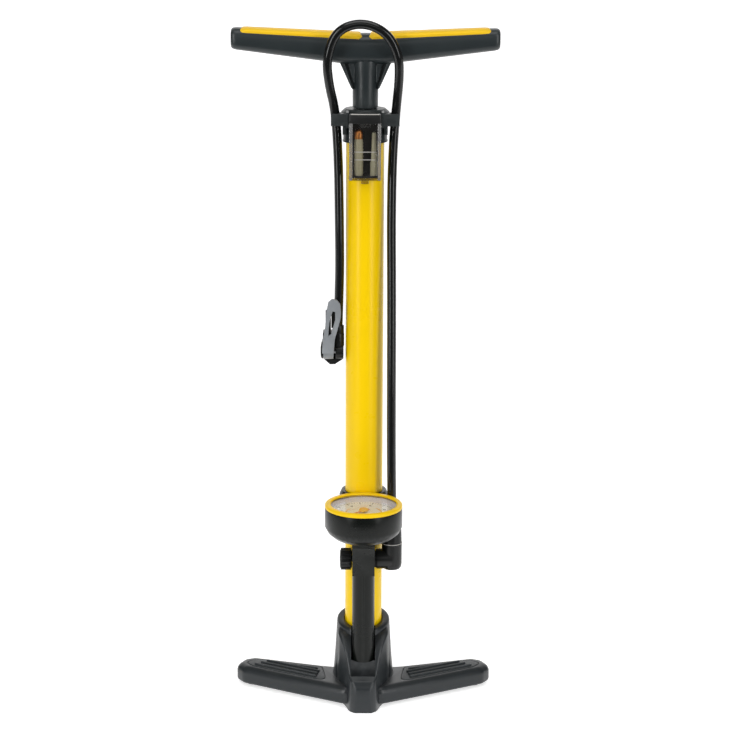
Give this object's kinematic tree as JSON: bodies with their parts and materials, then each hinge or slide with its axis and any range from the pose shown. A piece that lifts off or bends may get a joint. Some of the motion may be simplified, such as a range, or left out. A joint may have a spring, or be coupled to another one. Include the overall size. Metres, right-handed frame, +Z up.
{
  "type": "floor bike pump",
  "caption": "Upright floor pump for cycle tyres: T-handle plunger in a steel barrel, three-point foot, upward-facing gauge, parked hose with lever chuck.",
  "frame": {"origin": "on the barrel's axis at the underside of the base, on the floor", "axes": "+Z up along the barrel, -Y towards the gauge (front), +X towards the hose elbow"},
  "size_m": [0.246, 0.1302, 0.6465],
  "materials": {
    "base_plastic": "fine moulded texture",
    "tread_rubber": "ribbed soft insert",
    "foot_rubber": "soft pad",
    "yellow_enamel": "gloss enamel on steel tube",
    "black_nylon": "satin moulded nylon",
    "seal_rubber": "seal",
    "spring_steel": "bright wire",
    "stand_plastic": "satin moulded plastic",
    "zinc_steel": "zinc plated",
    "yellow_plastic": "gloss bezel",
    "clear_plastic": "clear lens",
    "dial_card": "printed dial",
    "brass": "turned brass",
    "pointer_paint": "painted pointer",
    "cap_plastic": "satin moulded plastic",
    "white_acetal": "guide bush",
    "tray_plastic": "black tray",
    "smoked_plastic": "smoked clear cover",
    "adapter_metal": "needle adapter",
    "grey_plastic": "cone adapter",
    "lever_grey": "grey nylon lever",
    "hose_rubber": "smooth black hose",
    "rod_steel": "chromed rod",
    "handle_plastic": "satin moulded plastic",
    "grip_rubber": "soft yellow grip"
  },
  "bodies": {
    "root": {"base": "base_plastic", "tread_left": "tread_rubber", "tread_right": "tread_rubber", "rubber_feet": "foot_rubber", "barrel": "yellow_enamel", "foot_plug": "black_nylon", "foot_seal": "seal_rubber", "check_spring": "spring_steel", "gauge_stand": "stand_plastic", "hose_elbow": "black_nylon", "elbow_seal": "seal_rubber", "hose_ferrule": "black_nylon", "barrel_clamp": "stand_plastic", "clamp_screw": "zinc_steel", "clamp_nut": "zinc_steel", "gauge_cup": "stand_plastic", "gauge_bezel": "yellow_plastic", "gauge_lens": "clear_plastic", "gauge_dial": "dial_card", "pressure_socket": "brass", "movement_frame": "brass", "bourdon_tube": "brass", "barrel_cap": "cap_plastic", "rod_bush": "white_acetal", "wiper_seal": "seal_rubber", "adapter_tray": "tray_plastic", "cover_pin": "zinc_steel", "needle_adapter": "adapter_metal", "cone_adapter": "grey_plastic", "chuck_body": "black_nylon", "chuck_gland": "seal_rubber", "chuck_ring": "black_nylon", "lever_pin": "zinc_steel", "chuck_ferrule": "black_nylon", "hose": "hose_rubber"},
    "valve": {"check_disc": "seal_rubber"},
    "plunger": {"piston_rod": "rod_steel", "piston": "black_nylon", "piston_cup": "seal_rubber", "piston_ring": "seal_rubber", "piston_washer": "zinc_steel", "rod_bumper": "seal_rubber"},
    "handle": {"handle": "handle_plastic", "grip_left": "grip_rubber", "grip_right": "grip_rubber", "handle_bolt": "zinc_steel", "handle_plug": "black_nylon"},
    "cover": {"adapter_cover": "smoked_plastic"},
    "lever": {"chuck_lever": "lever_grey"},
    "knob": {"bleed_knob": "black_nylon"},
    "pointer": {"gauge_pointer": "pointer_paint", "pointer_pinion": "brass"},
    "sector": {"sector_gear": "brass"}
  },
  "joints": [
    {"name": "plunger_slide", "type": "slide", "parent": "root", "child": "plunger", "axis": [0, 0, 1], "range_m": [0, 0.44]},
    {"name": "handle_swivel", "type": "hinge", "parent": "plunger", "child": "handle", "pos_m": [0, 0, 0.6], "axis": [0, 0, 1], "range_deg": [-8, 8]},
    {"name": "cover_hinge", "type": "hinge", "parent": "root", "child": "cover", "pos_m": [0, -0.025, 0.559], "axis": [-1, 0, 0], "range_deg": [0, 95]},
    {"name": "lever_hinge", "type": "hinge", "parent": "root", "child": "lever", "pos_m": [-0.03, -0.003, 0.338], "axis": [1, 0, 0], "range_deg": [0, 90]},
    {"name": "knob_turn", "type": "hinge", "parent": "root", "child": "knob", "pos_m": [-0.016, -0.025, 0.143], "axis": [1, 0, 0], "range_deg": [0, 180]},
    {"name": "sector_turn", "type": "hinge", "parent": "root", "child": "sector", "pos_m": [0, -0.0714, 0.189], "axis": [0, 0, 1], "range_deg": [0, 42.5], "stiffness_Nm_per_rad": 0.002},
    {"name": "pointer_turn", "type": "hinge", "parent": "root", "child": "pointer", "pos_m": [0, -0.0545, 0.189], "axis": [0, 0, 1], "range_deg": [-255, 0]},
    {"name": "valve_lift", "type": "slide", "parent": "root", "child": "valve", "axis": [0, 0, -1], "range_m": [0, 0.0012], "stiffness_N_per_m": 60, "deforming": ["check_spring"]}
  ],
  "couplings": [
    {"joint": "pointer_turn", "follows": "sector_turn", "ratio": -6}
  ]
}
